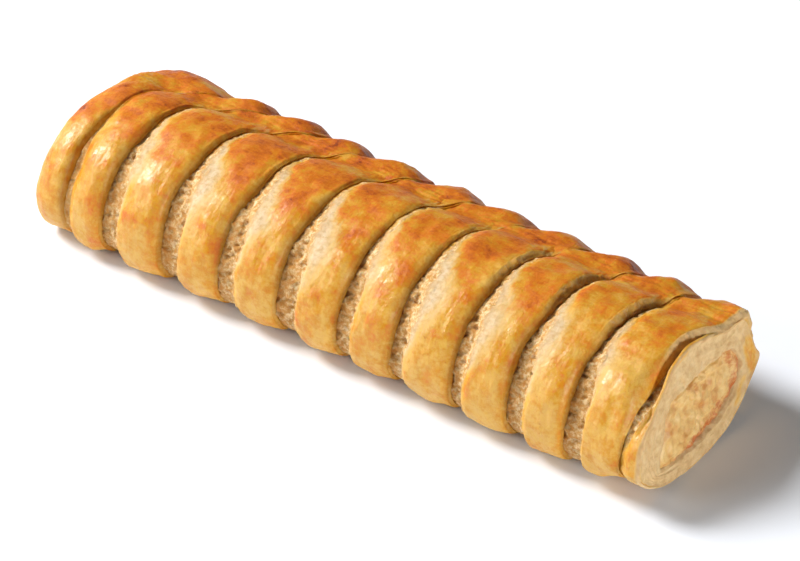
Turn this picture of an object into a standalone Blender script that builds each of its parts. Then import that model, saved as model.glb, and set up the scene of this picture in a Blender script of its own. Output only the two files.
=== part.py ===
"""Chicken pastry roll: a long roll of puff pastry, scored across its top, around a chicken filling.

The roll lies along X and is cut off at both ends, so the filling shows at each of them.
+Z is up and the flat underside stands at z = 0, centred on the origin. -Y is the front, where the
scored bands bulge most, and +Y is the back, where they end in a seam above the lower sheet.
"""

import math
import random

import bmesh
import bpy
import numpy as np
from mathutils import Matrix

MM = 0.001

# Length and cuts. The far end is cut square, and the near end is cut on a slant that leans back.
ROLL_LENGTH = 162.2 * MM
NEAR_CUT_LEAN = 0.146        # how far the near cut goes back for each metre of height
NEAR_CUT_SKEW = 0.049        # and for each metre from the front to the back
NEAR_TOE = (-26.0 * MM, 6.4 * MM)    # (y, z) where the near cut reaches the full length

# Outline across the roll at the crests of the bands: (y, z) in mm, from the middle of the underside
# round the front, over the top and down the back.
OUTLINE = (
    (0.0, 0.0), (-14.0, 0.0), (-21.5, 1.1),                     # underside and front toe
    (-25.6, 5.6), (-26.2, 11.8), (-24.2, 18.3), (-19.4, 24.1),  # front side and shoulder
    (-11.9, 27.4), (-3.4, 28.6), (5.1, 27.4),                   # crest
    (11.6, 25.4), (16.1, 24.6), (20.6, 23.5),                   # dip and second, lower crest
    (24.8, 20.3), (26.0, 16.0), (24.8, 12.0),                   # back side, down to the seam
    (25.4, 7.5), (22.2, 2.3), (14.0, 0.0),                      # lower sheet and underside
)
# The same points where the near end is cut: the toe reaches further out, the back stands straighter
# and the underside turns up a little.
CUT_END_OUTLINE = (
    (0.0, 0.0), (-10.5, 0.6), (-18.5, 2.6),
    (-24.6, 6.4), (-26.2, 11.4), (-23.6, 18.2), (-18.4, 24.2),
    (-11.2, 27.7), (-3.1, 28.8), (4.8, 27.7),
    (10.9, 25.8), (15.1, 25.4), (19.0, 25.0),
    (21.7, 21.9), (22.2, 17.6), (22.9, 14.0),
    (23.7, 10.6), (20.0, 7.4), (11.5, 2.0),
)
# The same points at the far cut, where the roll rounds off a little.
FAR_END_OUTLINE = (
    (0.0, 0.0), (-13.5, 0.0), (-20.2, 1.0),
    (-23.8, 5.6), (-24.6, 11.2), (-21.9, 17.4), (-16.8, 22.3),
    (-10.6, 25.5), (-3.4, 26.7), (5.0, 26.3),
    (11.2, 25.1), (15.4, 23.8), (19.5, 22.2),
    (23.4, 19.6), (24.8, 15.6), (24.0, 11.8),
    (24.4, 7.4), (21.4, 2.3), (13.5, 0.0),
)
NEAR_TAPER = 0.94            # width at the near end over the width at the far end
CUT_END_START = 67.0 * MM    # the cut end's outline blends in from here ...
CUT_END_FULL = 79.0 * MM     # ... to here
FAR_ROUNDING = 10.0 * MM     # length over which the far end rounds off
OUTLINE_STEPS = 24           # curve steps between two outline points
NORMAL_STEP = 0.006          # share of the way round over which an outline's direction is taken

# Scored grooves, from beyond the far cut to beyond the near one: x on the front and crest, and
# x on the back, where they lie nearer to the near end. One band lies between each two of them.
GROOVE_FRONT_X = (-92.0, -72.6, -61.6, -45.1, -28.7, -12.9, 3.3, 17.5, 32.9, 46.9, 60.9, 75.4, 91.0)
GROOVE_BACK_X = (-92.0, -60.1, -47.1, -33.6, -20.6, -5.6, 9.9, 23.4, 37.9, 51.4, 64.4, 75.4, 91.0)
GROOVE_TURN = (0.46, 0.66)   # share of the way round the outline where a groove moves over
# Open floor of each band's left groove at the toe, in mm, from the far band to the near one.
TOE_GAP = (1.5, 1.7, 4.4, 5.0, 4.4, 5.2, 3.6, 2.9, 2.6, 3.9, 4.3, 2.4)

# Groove depth round the outline: (share of the way round, depth in mm).
GROOVE_DEPTH = (
    (0.06, 0.0), (0.12, 0.9), (0.20, 1.5), (0.31, 3.4), (0.40, 3.3),
    (0.50, 2.6), (0.60, 2.2), (0.68, 2.1), (0.74, 1.2), (0.79, 0.0),
)
# Share of a band's width taken by the groove floor, and where its crest starts.
FLOOR_SHARE = ((0.10, 0.05), (0.38, 0.15), (0.50, 0.08), (0.62, 0.04), (1.00, 0.04))
CREST_SHARE = ((0.10, 0.30), (0.25, 0.34), (0.38, 0.46), (0.50, 0.40), (0.62, 0.26), (1.00, 0.26))
TOE_SPREAD = (0.20, 0.34)    # the toe's open floor closes between these shares of the outline
# Across a band, from the crest on: (share of the width, share of the groove depth).
CREST_PROFILE = ((0.66, 0.0), (0.86, 0.08), (0.965, 0.32))
FLANK_MIDDLE = (0.50, 0.44)  # halfway up the flank it still lies this share of the depth down
CREST_START_DEPTH = 0.06
BAND_UNEVENNESS = 0.30       # a band stands up to this much above or below the outline, in mm
UNEVEN_SEED = 11

# Chicken filling, seen from the near end: (y, z) in mm.
FILLING_OUTLINE = (
    (-16.6, 7.0), (-13.8, 11.8), (-12.4, 16.0), (-8.5, 18.2), (-3.0, 18.5), (3.0, 18.7),
    (8.5, 18.5), (12.6, 17.6), (15.4, 14.8), (16.2, 12.0), (14.2, 8.9), (9.5, 6.4),
    (4.0, 5.1), (-3.0, 4.7), (-9.0, 5.0), (-14.2, 5.6),
)
FILLING_GAP = 0.3 * MM
FILLING_SIDES = 40
FILLING_RINGS = 9            # rings of the filling between its ends

ROUND_SIDES = 44             # sides of the pastry's outline
OVERRUN = 12.0 * MM          # how far the uncut filling runs past the ends before it is cut
TRIM_REACH = 50.0 * MM       # the trimming block reaches this far to each side of the roll's axis

PASTRY_COLOUR = (0.72, 0.37, 0.09, 1.0)
FILLING_COLOUR = (0.74, 0.48, 0.25, 1.0)


def clear_scene():
    for old in list(bpy.data.objects):
        bpy.data.objects.remove(old, do_unlink=True)


def smooth_step(start, end, value):
    t = np.clip((value - start) / (end - start), 0.0, 1.0)
    return t * t * (3.0 - 2.0 * t)


def eased(knots, value):
    """Value of a curve that passes smoothly through (place, height) knots."""
    result = knots[0][1]
    for (place, height), (next_place, next_height) in zip(knots, knots[1:]):
        result += (next_height - height) * smooth_step(place, next_place, value)
    return result


def closed_curve(points_mm):
    """Closed Catmull-Rom curve through the points, as an array of (y, z) in metres."""
    points = np.array(points_mm) * MM
    t = np.arange(OUTLINE_STEPS)[:, None] / OUTLINE_STEPS
    stretches = []
    for i in range(len(points)):
        before, start, end, after = (points[(i + k) % len(points)] for k in (-1, 0, 1, 2))
        linear = (end - before) * t
        square = (2 * before - 5 * start + 4 * end - after) * t**2
        cube = (3 * start - before - 3 * end + after) * t**3
        stretches.append(0.5 * (2 * start + linear + square + cube))
    return np.vstack(stretches)


def shares_round(curve):
    """Share of the way round a closed curve at each of its points, with 1 at the closing point."""
    steps = np.linalg.norm(np.roll(curve, -1, axis=0) - curve, axis=1)
    return np.append(0.0, np.cumsum(steps)) / steps.sum()


OUTLINE_CURVE = closed_curve(OUTLINE)
CUT_END_CURVE = closed_curve(CUT_END_OUTLINE)
FAR_END_CURVE = closed_curve(FAR_END_OUTLINE)
OUTLINE_SHARES = shares_round(OUTLINE_CURVE)


def on_curve(curve, share):
    closed = np.vstack([curve, curve[:1]])
    return np.array([np.interp(share % 1.0, OUTLINE_SHARES, closed[:, k]) for k in (0, 1)])


def outline_point(x, share):
    """Point (y, z) of the crest outline at x, a share of the way round."""
    taper = 1.0 + (NEAR_TAPER - 1.0) * (x / ROLL_LENGTH + 0.5)
    along = on_curve(OUTLINE_CURVE, share) * np.array([taper, 1.0])
    cut_end = on_curve(CUT_END_CURVE, share)
    far_end = on_curve(FAR_END_CURVE, share)
    rounding = np.clip(1.0 - (x + ROLL_LENGTH / 2.0) / FAR_ROUNDING, 0.0, 1.0) ** 2
    along = along + (cut_end - along) * smooth_step(CUT_END_START, CUT_END_FULL, x)
    return along + (far_end - along) * rounding


def outline_normal(x, share):
    """Outward normal of the crest outline at x."""
    y, z = outline_point(x, share + NORMAL_STEP) - outline_point(x, share - NORMAL_STEP)
    return np.array([-z, y]) / math.hypot(y, z)


def groove_x(groove, share):
    over = smooth_step(*GROOVE_TURN, share)
    return (GROOVE_FRONT_X[groove] * (1.0 - over) + GROOVE_BACK_X[groove] * over) * MM


def band_stations(band, share):
    """Across one band: (share of its width, share of the groove depth) from floor to far edge."""
    width = groove_x(band + 1, share) - groove_x(band, share)
    toe_floor = TOE_GAP[band] * MM / width
    floor = eased(FLOOR_SHARE, share)
    floor += (toe_floor - floor) * (1.0 - smooth_step(*TOE_SPREAD, share))
    crest = max(eased(CREST_SHARE, share), floor + 0.12)
    middle = floor + (crest - floor) * FLANK_MIDDLE[0]
    start = ((0.0, 1.0), (floor, 1.0), (middle, FLANK_MIDDLE[1]), (crest, CREST_START_DEPTH))
    return start + CREST_PROFILE


RINGS_PER_BAND = 4 + len(CREST_PROFILE)
BANDS = len(GROOVE_FRONT_X) - 1


def band_lifts():
    draw = random.Random(UNEVEN_SEED)
    return [draw.uniform(-BAND_UNEVENNESS, BAND_UNEVENNESS) * MM for _ in range(BANDS)]


def long_tube(name, sides, rings):
    """A capped tube along X: angle 0 at the underside, turning to -Y, with evenly spaced rings."""
    mesh = bpy.data.meshes.new(name)
    body = bmesh.new()
    bmesh.ops.create_cone(
        body, cap_ends=True, segments=sides, radius1=1.0, radius2=1.0, depth=1.0,
        matrix=Matrix.Rotation(math.radians(90.0), 4, "Y"),
    )
    lengthwise = [e for e in body.edges if abs(e.verts[0].co.x - e.verts[1].co.x) > 0.5]
    bmesh.ops.subdivide_edges(body, edges=lengthwise, cuts=rings - 2, use_grid_fill=True)
    body.to_mesh(mesh)
    body.free()
    return mesh


def place_on(mesh, sides, rings, place):
    """Moves each tube vertex to place(ring, share of the way round)."""
    for vertex in mesh.vertices:
        ring = round((vertex.co.x + 0.5) * (rings - 1))
        angle = math.atan2(-vertex.co.y, -vertex.co.z) % math.tau
        side = round(angle / math.tau * sides)
        vertex.co = place(ring, (side % sides) / sides)
    body = bmesh.new()
    body.from_mesh(mesh)
    bmesh.ops.recalc_face_normals(body, faces=body.faces)
    body.to_mesh(mesh)
    body.free()


def link(name, mesh, collection):
    thing = bpy.data.objects.new(name, mesh)
    collection.objects.link(thing)
    return thing


def cutter(name, mesh, collection):
    thing = link(name, mesh, collection)
    thing.hide_render = True
    thing.display_type = "WIRE"
    return thing


def boolean(thing, tool, operation):
    step = thing.modifiers.new(tool.name, "BOOLEAN")
    step.operation = operation
    step.solver = "EXACT"
    step.object = tool


def material(name, colour, roughness):
    made = bpy.data.materials.new(name)
    made.use_nodes = True
    shader = made.node_tree.nodes["Principled BSDF"]
    shader.inputs["Base Color"].default_value = colour
    shader.inputs["Roughness"].default_value = roughness
    shader.inputs["Metallic"].default_value = 0.0
    return made


def shade_smooth(mesh, sharp_degrees):
    mesh.shade_smooth()
    mesh.set_sharp_from_angle(angle=math.radians(sharp_degrees))


def scored_roll_mesh():
    """The whole roll with its bands in relief, running past both cuts."""
    rings = BANDS * RINGS_PER_BAND + 1
    mesh = long_tube("pastry", ROUND_SIDES, rings)
    lifts = band_lifts()

    def place(ring, share):
        band = min(ring // RINGS_PER_BAND, BANDS - 1)
        station = ring - band * RINGS_PER_BAND
        stations = band_stations(band, share) + ((1.0, 1.0),)
        across, deep = stations[station]
        left = groove_x(band, share)
        x = left + (groove_x(band + 1, share) - left) * across
        depth = eased(GROOVE_DEPTH, share) * MM
        fade = min(1.0, depth / (1.0 * MM))
        height = -depth * deep + lifts[band] * (1.0 - deep) * fade
        y, z = outline_point(x, share) + outline_normal(x, share) * height
        return (x, y, max(z, 0.0))

    place_on(mesh, ROUND_SIDES, rings, place)
    return mesh


def filling_mesh(name, clearance):
    """The filling's shape, grown by the clearance, running past both cuts."""
    mesh = long_tube(name, FILLING_SIDES, FILLING_RINGS)
    curve = closed_curve(FILLING_OUTLINE)
    shares = shares_round(curve)
    closed = np.vstack([curve, curve[:1]])
    length = ROLL_LENGTH + 2.0 * OVERRUN

    def point(share):
        return np.array([np.interp(share % 1.0, shares, closed[:, k]) for k in (0, 1)])

    def place(ring, share):
        x = (ring / (FILLING_RINGS - 1) - 0.5) * length
        y, z = point(share + NORMAL_STEP) - point(share - NORMAL_STEP)
        outward = np.array([-z, y]) / math.hypot(y, z)
        y, z = point(share) + outward * clearance
        return (x, y, z)

    place_on(mesh, FILLING_SIDES, FILLING_RINGS, place)
    return mesh


def end_trim_mesh():
    """The block between the two cuts."""
    mesh = bpy.data.meshes.new("end_trim")
    body = bmesh.new()
    bmesh.ops.create_cube(body, size=1.0)
    for corner in body.verts:
        y = math.copysign(TRIM_REACH, corner.co.y)
        z = math.copysign(TRIM_REACH, corner.co.z)
        x = -ROLL_LENGTH / 2.0
        if corner.co.x > 0.0:
            x = ROLL_LENGTH / 2.0 - NEAR_CUT_LEAN * (z - NEAR_TOE[1]) - NEAR_CUT_SKEW * (y - NEAR_TOE[0])
        corner.co = (x, y, z)
    body.to_mesh(mesh)
    body.free()
    return mesh


def main():
    clear_scene()
    roll = bpy.data.collections.new("chicken_pastry_roll")
    cutters = bpy.data.collections.new("cutters")
    for collection in (roll, cutters):
        bpy.context.scene.collection.children.link(collection)

    end_trim = cutter("end_trim", end_trim_mesh(), cutters)
    tunnel = cutter("filling_tunnel", filling_mesh("filling_tunnel", FILLING_GAP), cutters)

    pastry = link("pastry", scored_roll_mesh(), roll)
    pastry.data.materials.append(material("baked_pastry", PASTRY_COLOUR, 0.42))
    boolean(pastry, end_trim, "INTERSECT")
    boolean(pastry, tunnel, "DIFFERENCE")
    shade_smooth(pastry.data, 50.0)

    filling = link("chicken_filling", filling_mesh("chicken_filling", 0.0), roll)
    filling.data.materials.append(material("chicken_filling", FILLING_COLOUR, 0.6))
    boolean(filling, end_trim, "INTERSECT")
    shade_smooth(filling.data, 50.0)


main()
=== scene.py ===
"""Chicken pastry roll: finished crust, torn dough and filling in place of the model's two solids.

Laid out as an add-on and run as a script. Everything is in metres, in the model's own frame: the roll
lies along X, +Z is up, -Y is the front where the scored bands bulge and +Y the back with the seam.
"""

import itertools
import math
import random

import bpy
import numpy as np
from bpy.props import FloatProperty, FloatVectorProperty, PointerProperty
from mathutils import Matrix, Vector


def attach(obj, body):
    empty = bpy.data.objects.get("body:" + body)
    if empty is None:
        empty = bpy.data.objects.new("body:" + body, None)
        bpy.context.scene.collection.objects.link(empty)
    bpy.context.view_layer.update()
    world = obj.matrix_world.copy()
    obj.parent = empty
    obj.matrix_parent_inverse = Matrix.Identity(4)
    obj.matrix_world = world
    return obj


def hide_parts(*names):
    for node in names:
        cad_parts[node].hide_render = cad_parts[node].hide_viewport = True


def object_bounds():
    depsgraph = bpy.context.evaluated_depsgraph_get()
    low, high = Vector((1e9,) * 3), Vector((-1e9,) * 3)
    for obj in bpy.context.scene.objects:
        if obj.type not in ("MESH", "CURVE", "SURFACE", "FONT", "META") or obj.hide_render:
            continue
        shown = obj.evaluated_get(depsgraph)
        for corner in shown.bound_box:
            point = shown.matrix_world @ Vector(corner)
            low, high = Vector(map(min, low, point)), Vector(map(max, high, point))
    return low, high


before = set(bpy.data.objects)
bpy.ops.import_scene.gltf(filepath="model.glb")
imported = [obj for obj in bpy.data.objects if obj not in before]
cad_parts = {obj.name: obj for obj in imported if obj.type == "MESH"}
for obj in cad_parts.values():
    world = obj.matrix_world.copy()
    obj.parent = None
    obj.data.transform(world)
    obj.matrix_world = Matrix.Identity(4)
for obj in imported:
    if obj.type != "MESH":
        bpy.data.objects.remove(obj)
CAD_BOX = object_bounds()

bl_info = {
    "name": "Chicken Pastry Roll",
    "version": (1, 0, 0),
    "blender": (4, 5, 0),
    "location": "3D View > Sidebar > Pastry Roll",
    "description": "Makes a scored, egg-washed puff pastry roll with a chicken filling",
    "category": "Add Mesh",
}

BODY = "root"
PASTRY_NODE, FILLING_NODE = "pastry", "chicken_filling"
MM = 0.001


# ---- Shape of the roll ----

ROLL_LENGTH = 162.2 * MM
FAR_CUT = -ROLL_LENGTH / 2.0
NEAR_CUT_LEAN = 0.146        # how far the near cut goes back for each metre of height
NEAR_CUT_SKEW = 0.049        # and for each metre from the front to the back
NEAR_TOE = (-26.0 * MM, 6.4 * MM)    # (y, z) where the near cut reaches the full length

# Outline across the roll at the crests of the bands: (y, z) in mm, from the middle of the underside
# round the front, over the top and down the back.
OUTLINE = (
    (0.0, 0.0), (-14.0, 0.0), (-21.5, 1.1),                     # underside and front toe
    (-25.6, 5.6), (-26.2, 11.8), (-24.2, 18.3), (-19.4, 24.1),  # front side and shoulder
    (-11.9, 27.4), (-3.4, 28.6), (5.1, 27.4),                   # crest
    (11.6, 25.4), (16.1, 24.6), (20.6, 23.5),                   # dip and second, lower crest
    (24.8, 20.3), (26.0, 16.0), (24.8, 12.0),                   # back side, down to the seam
    (25.4, 7.5), (22.2, 2.3), (14.0, 0.0),                      # lower sheet and underside
)
CUT_END_OUTLINE = (
    (0.0, 0.0), (-10.5, 0.6), (-18.5, 2.6),
    (-24.6, 6.4), (-26.2, 11.4), (-23.6, 18.2), (-18.4, 24.2),
    (-11.2, 27.7), (-3.1, 28.8), (4.8, 27.7),
    (10.9, 25.8), (15.1, 25.4), (19.0, 25.0),
    (21.7, 21.9), (22.2, 17.6), (22.9, 14.0),
    (23.7, 10.6), (20.0, 7.4), (11.5, 2.0),
)
FAR_END_OUTLINE = (
    (0.0, 0.0), (-13.5, 0.0), (-20.2, 1.0),
    (-23.8, 5.6), (-24.6, 11.2), (-21.9, 17.4), (-16.8, 22.3),
    (-10.6, 25.5), (-3.4, 26.7), (5.0, 26.3),
    (11.2, 25.1), (15.4, 23.8), (19.5, 22.2),
    (23.4, 19.6), (24.8, 15.6), (24.0, 11.8),
    (24.4, 7.4), (21.4, 2.3), (13.5, 0.0),
)
NEAR_TAPER = 0.94            # width at the near end over the width at the far end
CUT_END_START = 67.0 * MM    # the cut end's outline blends in from here ...
CUT_END_FULL = 79.0 * MM     # ... to here
FAR_ROUNDING = 10.0 * MM     # length over which the far end rounds off
OUTLINE_STEPS = 24           # curve steps between two outline points
NORMAL_STEP = 0.006          # share of the way round over which an outline's direction is taken

# Scored grooves: x on the front and crest, and x on the back. One band lies between each two.
GROOVE_FRONT_X = (-92.0, -72.6, -61.6, -45.1, -28.7, -12.9, 3.3, 17.5, 32.9, 46.9, 60.9, 75.4, 91.0)
GROOVE_BACK_X = (-92.0, -60.1, -47.1, -33.6, -20.6, -5.6, 9.9, 23.4, 37.9, 51.4, 64.4, 75.4, 91.0)
GROOVE_TURN = (0.54, 0.665)  # share of the way round the outline where a groove moves over
TOE_GAP = (1.5, 1.7, 4.4, 5.0, 4.4, 5.2, 3.6, 2.9, 2.6, 3.9, 4.3, 2.4)  # open floor at the toe, mm
TOE_SPREAD = (0.32, 0.42)    # the toe's open floor closes between these shares of the outline
# Depth of a groove: (share of the way round, mm).
GROOVE_DEPTH = (
    (0.06, 0.0), (0.12, 1.3), (0.20, 2.0), (0.31, 3.0), (0.40, 2.5),
    (0.50, 1.9), (0.60, 2.1), (0.67, 3.5), (0.74, 1.8), (0.79, 0.0),
)
# Where a band's flank starts and where it ends: (share of the way round, share of the band's width).
FLOOR_SHARE = ((0.10, 0.05), (0.42, 0.06), (0.52, 0.05), (1.00, 0.05))
CREST_SHARE = ((0.10, 0.32), (0.22, 0.36), (0.30, 0.45), (0.40, 0.46), (0.46, 0.34),
               (0.53, 0.24), (0.60, 0.26), (0.67, 0.42), (1.00, 0.42))
LEAST_FLANK = 0.12           # a flank's least width, as a share of the band's width
# How much of its depth a groove keeps over the top of the roll, for each groove.
TOP_DEPTH = (1.0, 0.35, 0.62, 0.62, 0.55, 0.55, 0.40, 0.52, 0.72, 0.95, 1.0, 1.0, 1.0)
TOP_STRETCH = (0.42, 0.50, 0.60, 0.66)      # and where along the way round that applies
BRIDGE = (0.575, 0.612, 0.65)    # the grooves all but close in the dip between the two crests
BRIDGE_FILL = 0.85
# Share of each band's pale flank that the egg wash left bare: next to none on the first two.
BARE_FLANK = (0.0, 0.05, 0.80, 1.15, 1.10, 1.15, 0.75, 1.15, 1.05, 1.0, 0.72, 0.5)
# Where the egg wash starts across a band: (share of the way round, share of the band's width).
WASH_START = ((0.10, 0.10), (0.24, 0.20), (0.31, 0.42), (0.365, 0.54), (0.40, 0.43),
              (0.45, 0.24), (0.50, 0.08), (0.54, -0.10), (1.00, -0.10))
# Where the open crumb ends at the foot of the flank, given in the same way.
CRUMB_FOOT = ((0.22, 0.22), (0.31, 0.30), (0.38, 0.26), (0.45, 0.12), (0.50, 0.06), (1.00, 0.03))
SADDLE_SHARES = (0.54, 0.595, 0.65)      # where the bands run together, as shares of the outline
SADDLE = 0.55 * MM           # depth of the dip along the roll before the back lobes
BAND_UNEVENNESS = 0.30       # a band stands up to this much above or below the outline, in mm
UNEVEN_SEED = 11
BANDS = len(GROOVE_FRONT_X) - 1
FIRST_GROOVE, LAST_GROOVE = 1, BANDS - 1     # grooves that lie between the two cuts

# The last groove ends before the back, and the thin slice beyond it stands lower at the cut:
# (share of the way round, mm).
LAST_GROOVE_DEPTH = ((0.06, 0.0), (0.12, 0.9), (0.20, 1.6), (0.29, 2.4), (0.39, 5.0), (0.47, 3.6),
                     (0.53, 2.7), (0.58, 2.3), (0.70, 2.0), (0.76, 0.6), (0.79, 0.0))
LIP_DROP = ((0.14, 0.1), (0.20, 0.6), (0.27, 1.6), (0.335, 3.9), (0.37, 4.0), (0.43, 1.8), (0.48, 1.2),
            (0.53, 1.5), (0.56, 1.7), (0.60, 2.2), (0.70, 2.0), (0.76, 0.6), (0.79, 0.0))

FILLING_OUTLINE = (
    (-16.6, 7.0), (-13.8, 11.8), (-12.4, 16.0), (-8.5, 18.2), (-3.0, 18.5), (3.0, 18.7),
    (8.5, 18.5), (12.6, 17.6), (15.4, 14.8), (16.2, 12.0), (14.2, 8.9), (9.5, 6.4),
    (4.0, 5.1), (-3.0, 4.7), (-9.0, 5.0), (-14.2, 5.6),
)
FILLING_CENTRE = (0.0 * MM, 11.5 * MM)
# Golden patches at the back of the near cut: from (y, z) to (y, z), and how far round that, in mm.
GOLDEN_PATCHES = (((20.2, 14.6), (20.4, 10.6), 2.4), ((16.8, 8.8), (12.6, 5.6), 0.9))
FILLING_SET_BACK = 0.55 * MM  # how far the filling's ends lie inside the cuts
# Width of the last groove's floor: (share of the way round, mm).
LAST_FLOOR_WIDTH = ((0.10, 0.5), (0.25, 0.7), (0.33, 1.9), (0.42, 2.0), (0.50, 1.0), (1.00, 0.7))
LAST_SLICE = 1.15 * MM       # least thickness of the slice beyond it
FLOOR_HOLLOW = 0.18 * MM     # how far a groove's floor sags between its sides
FLOOR_UNDERCUT = 0.055       # the floor runs this share of a band's width under the band before
HIDDEN_DEPTH = 0.5 * MM      # how far the dough under the bands lies below the groove floors
BAND_SHARES = (0.082, 0.768)     # where the bands' ends are tucked in, as shares of the outline
BAND_TUCK = 0.25 * MM        # how far a band's edges reach into the groove floors
BAND_UNDERSIDE = 1.3 * MM    # and how far its underside lies below them
END_SINK, END_TAPER = 1.6 * MM, 0.022    # depth and length of a band's sunk end
SEAM_WAVES = 0.006           # how far the seam at the back wanders, as a share of the outline
CLOSED_BAND = 1              # the first whole band, whose flank shows no open crumb

# Fineness of the meshes.
CORE_SIDES = 302
FINE_SHARES = (0.085, 0.79)  # the scored part of the outline, where the sides lie closer
FINE_SIDES = 250
FAR_BAND_STEPS = (3, 12, 9, 4, 3, 3, 4)      # rows in each stretch of the far band
SLICE_STEPS = (4, 5, 3, 3, 0)    # and of the last slice, whose rounded edge has none of its own
FLOOR_ROWS = 18
HIDDEN_ROWS = 3
NEAR_FACE_ROWS = 28
FAR_FACE_ROWS = 16
BAND_RINGS = 300
CLOSING_RINGS = 6.0          # rings over which a band closes at each end
SECTION_STEPS = (7, 8, 9, 10, 11, 7, 4, 6, 6, 3, 5, 3)   # mesh steps between a section's points
FILLING_SIDES = 180
FILLING_RINGS = 120
FILLING_LENGTH_RINGS = 4     # rings between the middle of the filling and each of its faces


def rise(start, end, value):
    """0 up to start, 1 from end on, and a smooth step in between."""
    t = np.clip((value - start) / (end - start), 0.0, 1.0)
    return t * t * (3.0 - 2.0 * t)


def fall(start, end, value):
    """1 up to start, 0 from end on, and a smooth step in between."""
    return 1.0 - rise(start, end, value)


def plateau(start, full, lasting, end, value):
    """Rises from start to full and falls from lasting to end."""
    return rise(start, full, value) * fall(lasting, end, value)


def bump(start, middle, end, value):
    """A smooth hill that rises from start to middle and falls to end."""
    return plateau(start, middle, middle, end, value)


def blend(first, second, part):
    return first + (second - first) * part


def eased(knots, value):
    """Value of a curve that passes smoothly through (place, height) knots."""
    result = knots[0][1]
    for (place, height), (next_place, next_height) in zip(knots, knots[1:]):
        result = result + (next_height - height) * rise(place, next_place, value)
    return result


def through_points(points, steps, closed=True):
    """Catmull-Rom curve through points[n, ...], with steps[i] steps after point i."""
    count = len(points)
    stretches = []
    for i in range(count if closed else count - 1):
        near = [i - 1, i, i + 1, i + 2]
        near = [k % count for k in near] if closed else [min(max(k, 0), count - 1) for k in near]
        before, start, end, after = (points[k] for k in near)
        t = (np.arange(steps[i]) / steps[i]).reshape((-1,) + (1,) * (points.ndim - 1))
        stretches.append(0.5 * (
            2 * start + (end - before) * t
            + (2 * before - 5 * start + 4 * end - after) * t**2
            + (3 * start - before - 3 * end + after) * t**3
        ))
    if not closed:
        stretches.append(points[-1:])
    return np.concatenate(stretches)


def closed_curve(points_mm):
    points = np.array(points_mm) * MM
    return through_points(points, [OUTLINE_STEPS] * len(points))


def shares_round(curve):
    steps = np.linalg.norm(np.roll(curve, -1, axis=0) - curve, axis=1)
    return np.append(0.0, np.cumsum(steps)) / steps.sum()


OUTLINE_CURVE = closed_curve(OUTLINE)
CUT_END_CURVE = closed_curve(CUT_END_OUTLINE)
FAR_END_CURVE = closed_curve(FAR_END_OUTLINE)
OUTLINE_SHARES = shares_round(OUTLINE_CURVE)
WAY_ROUND = np.linalg.norm(np.roll(OUTLINE_CURVE, -1, axis=0) - OUTLINE_CURVE, axis=1).sum()
FILLING_CURVE = closed_curve(FILLING_OUTLINE)


def on_curve(curve, share):
    closed = np.vstack([curve, curve[:1]])
    return np.stack([np.interp(share % 1.0, OUTLINE_SHARES, closed[:, k]) for k in (0, 1)])


def outline_point(x, share):
    """Points (y, z) of the crest outline at x, a share of the way round."""
    taper = 1.0 + (NEAR_TAPER - 1.0) * (x / ROLL_LENGTH + 0.5)
    along = on_curve(OUTLINE_CURVE, share) * np.stack([taper, np.ones_like(taper)])
    along = blend(along, on_curve(CUT_END_CURVE, share), rise(CUT_END_START, CUT_END_FULL, x))
    rounding = np.clip(1.0 - (x - FAR_CUT) / FAR_ROUNDING, 0.0, 1.0) ** 2
    return blend(along, on_curve(FAR_END_CURVE, share), rounding)


def roll_point(x, share, height):
    """Points (x, y, z) that stand a height above the crest outline."""
    step = outline_point(x, share + NORMAL_STEP) - outline_point(x, share - NORMAL_STEP)
    outward = np.stack([-step[1], step[0]]) / np.hypot(step[0], step[1])
    y, z = outline_point(x, share) + outward * height
    return np.stack([x, y, np.maximum(z, 0.0)], axis=-1)


def near_cut_x(y, z):
    return ROLL_LENGTH / 2.0 - NEAR_CUT_LEAN * (z - NEAR_TOE[1]) - NEAR_CUT_SKEW * (y - NEAR_TOE[0])


# ---- Unevenness: smooth random heights, always the same ----

LATTICE = 32
NOISE_TABLE = np.random.default_rng(5).uniform(-1.0, 1.0, (LATTICE,) * 3)
OCTAVE_SHIFT = 7.31          # moves each finer layer of noise away from the one before
LINE_SPACING = 3.7           # keeps the noise of one groove or band apart from the next
LINE_START = 0.5


def lattice_steps(size):
    """Three lattice steps from one, two or three; those left out are 1."""
    return np.array((*size, 1.0, 1.0)[:3])


def noise(places, size):
    """Smooth random values between -1 and 1 at places[n, 3]; size is the lattice step for each axis."""
    spot = places / lattice_steps(size)
    cell = np.floor(spot).astype(int)
    part = spot - cell
    part = part * part * (3.0 - 2.0 * part)
    total = 0.0
    for corner in itertools.product((0, 1), repeat=3):
        weight = np.prod(np.where(corner, part, 1.0 - part), axis=-1)
        index = (cell + np.array(corner)) % LATTICE
        total = total + weight * NOISE_TABLE[index[..., 0], index[..., 1], index[..., 2]]
    return total


def layered_noise(places, size, octaves):
    steps = lattice_steps(size)
    total = 0.0
    for octave in range(octaves):
        finer = noise(places + OCTAVE_SHIFT * octave * steps, steps / 2.0**octave)
        total = total + 0.5**octave * finer
    return total


def noise_along(share, line, size):
    """Noise along the way round, for one groove or band."""
    places = [share, np.full_like(share, line * LINE_SPACING), np.full_like(share, LINE_START)]
    return noise(np.stack(places, axis=-1), (size,))


def unrolled(x, share, layer):
    """Places in mm on the unrolled surface, for noise that follows the bands."""
    return np.stack([x / MM, share * WAY_ROUND / MM, np.zeros_like(x) + layer], axis=-1)


def skin_noise(x, share, layer, pattern):
    """Noise on the skin; a pattern is (strength, octaves, mm along the roll, mm round it)."""
    strength, octaves, *size = pattern
    return strength * layered_noise(unrolled(x, share, layer), size, octaves)


def band_lifts():
    draw = random.Random(UNEVEN_SEED)
    return [draw.uniform(-BAND_UNEVENNESS, BAND_UNEVENNESS) * MM for _ in range(BANDS)]


BAND_LIFTS = band_lifts()


# ---- Grooves and bands ----

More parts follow.
